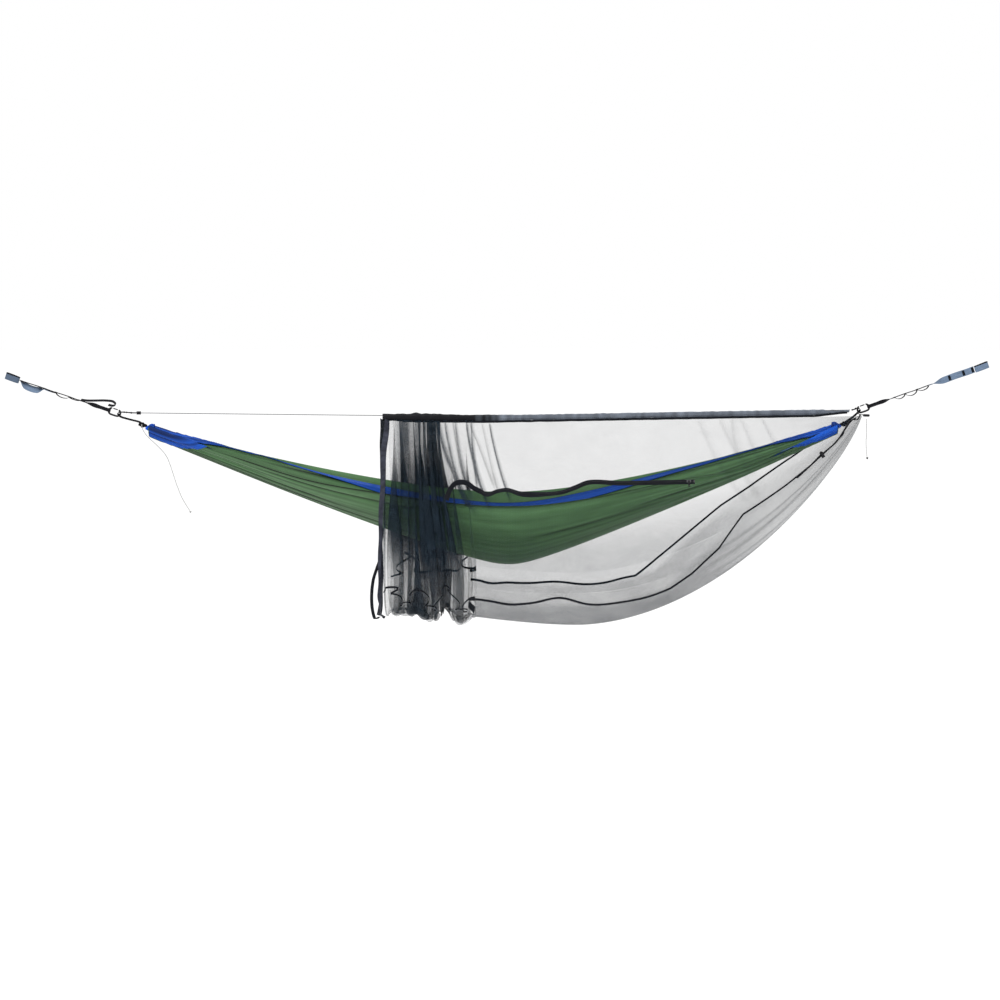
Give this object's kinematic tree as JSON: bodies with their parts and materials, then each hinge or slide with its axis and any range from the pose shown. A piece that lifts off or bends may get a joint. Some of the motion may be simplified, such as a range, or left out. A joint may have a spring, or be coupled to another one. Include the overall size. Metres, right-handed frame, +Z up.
{
  "type": "camping hammock",
  "caption": "Gathered-end two-tone cloth hammock on webbing tree straps, inside a tubular bug net that slides along a ridgeline, with a zip in its near wall.",
  "frame": {"origin": "middle of the left tree loop's inner bearing face, where it goes round its anchor", "axes": "+X along the hammock from the left anchor to the right one, +Z up, -Y towards the side with the zip"},
  "size_m": [3.728, 0.761, 0.9962],
  "materials": {
    "grey_webbing": "satin",
    "black_webbing": "matte",
    "black_alloy": "satin",
    "steel": "satin",
    "black_cord": "matte",
    "white_cord": "matte",
    "black_plastic": "satin",
    "blue_nylon": "satin",
    "green_nylon": "satin",
    "black_net": "matte",
    "sleeve_cloth": "matte"
  },
  "bodies": {
    "tree_anchors": {"tree_loop_left": "grey_webbing", "tree_loop_right": "grey_webbing"},
    "suspension": {"strap_left": "black_webbing", "strap_right": "black_webbing", "daisy_loops_left": "grey_webbing", "daisy_loops_right": "grey_webbing", "strap_free_loop_left": "black_webbing", "carabiner_left": "black_alloy", "carabiner_right": "black_alloy", "gate_pin_left": "steel", "gate_pin_right": "steel", "rope_left": "black_cord", "rope_right": "black_cord", "ridge_hook_left": "black_plastic", "ridge_hook_right": "black_plastic", "gather_knot_left": "black_cord", "gather_knot_right": "black_cord", "end_channel_left": "blue_nylon", "end_channel_right": "blue_nylon", "hammock_center_panel": "green_nylon", "hammock_side_panel_near": "blue_nylon", "hammock_side_panel_far": "blue_nylon", "ridgeline": "white_cord", "ridge_sleeve": "sleeve_cloth", "ridge_trim": "black_webbing", "net_wall_near": "black_net", "net_wall_far": "black_net", "net_floor": "black_net", "floor_seam_near": "black_webbing", "floor_seam_far": "black_webbing", "zip_tape": "black_webbing", "zip_end_stop": "steel", "net_drawcord_upper": "black_cord", "net_drawcord_lower": "black_cord", "end_toggle": "black_plastic", "tail_right": "white_cord", "tail_knot_right": "black_cord", "tail_left": "white_cord", "tail_knot_left": "white_cord", "tie_out_tab": "black_webbing"},
    "gate_left": {"gate_left": "black_alloy"},
    "gate_right": {"gate_right": "black_alloy"},
    "net_head": {"net_opening_hem": "black_webbing", "hem_loop": "black_webbing", "net_curtain": "black_net", "gathered_sleeve": "sleeve_cloth"},
    "line_adjuster": {"line_adjuster": "black_plastic"},
    "zip_slider": {"zip_slider": "steel"},
    "zip_pull": {"zip_pull": "black_plastic"},
    "cord_lock": {"cord_lock_barrel": "black_plastic", "cord_lock_spring": "steel"},
    "cord_lock_plunger": {"cord_lock_plunger": "black_plastic"}
  },
  "joints": [
    {"name": "swing", "type": "hinge", "parent": "tree_anchors", "child": "suspension", "pos_m": [0, 0, 0], "axis": [0.9999, 0, 0.0113], "range_deg": [-25, 25]},
    {"name": "gate_left_pivot", "type": "hinge", "parent": "suspension", "child": "gate_left", "pos_m": [0.40559, 0, -0.12452], "axis": [0, 1, 0], "range_deg": [0, 20], "stiffness_Nm_per_rad": 0.03, "springref_deg": -17.19},
    {"name": "gate_right_pivot", "type": "hinge", "parent": "suspension", "child": "gate_right", "pos_m": [3.24922, 0, -0.11049], "axis": [0, -1, 0], "range_deg": [0, 20], "stiffness_Nm_per_rad": 0.03, "springref_deg": -17.19},
    {"name": "net_slide", "type": "slide", "parent": "suspension", "child": "net_head", "axis": [0.9999, 0, -0.0106], "range_m": [-0.8, 0], "deforming": ["net_curtain", "gathered_sleeve"]},
    {"name": "adjuster_slide", "type": "slide", "parent": "suspension", "child": "line_adjuster", "axis": [0.9999, 0, -0.0106], "range_m": [0, 0.3]},
    {"name": "zip_travel", "type": "slide", "parent": "suspension", "child": "zip_slider", "axis": [0.9996, -0.0175, 0.0219], "range_m": [-0.235, 0]},
    {"name": "zip_pull_hinge", "type": "hinge", "parent": "zip_slider", "child": "zip_pull", "pos_m": [2.56784, -0.31777, -0.37602], "axis": [0.9996, -0.0175, 0.0219], "range_deg": [-100, 0]},
    {"name": "lock_travel", "type": "slide", "parent": "suspension", "child": "cord_lock", "axis": [0.6995, 0.41, 0.5854], "range_m": [-0.03, 0.03]},
    {"name": "lock_press", "type": "slide", "parent": "cord_lock", "child": "cord_lock_plunger", "axis": [0.505, 0.296, -0.8108], "range_m": [0, 0.003], "stiffness_N_per_m": 600, "springref_m": -0.002, "deforming": ["cord_lock_spring"]}
  ]
}
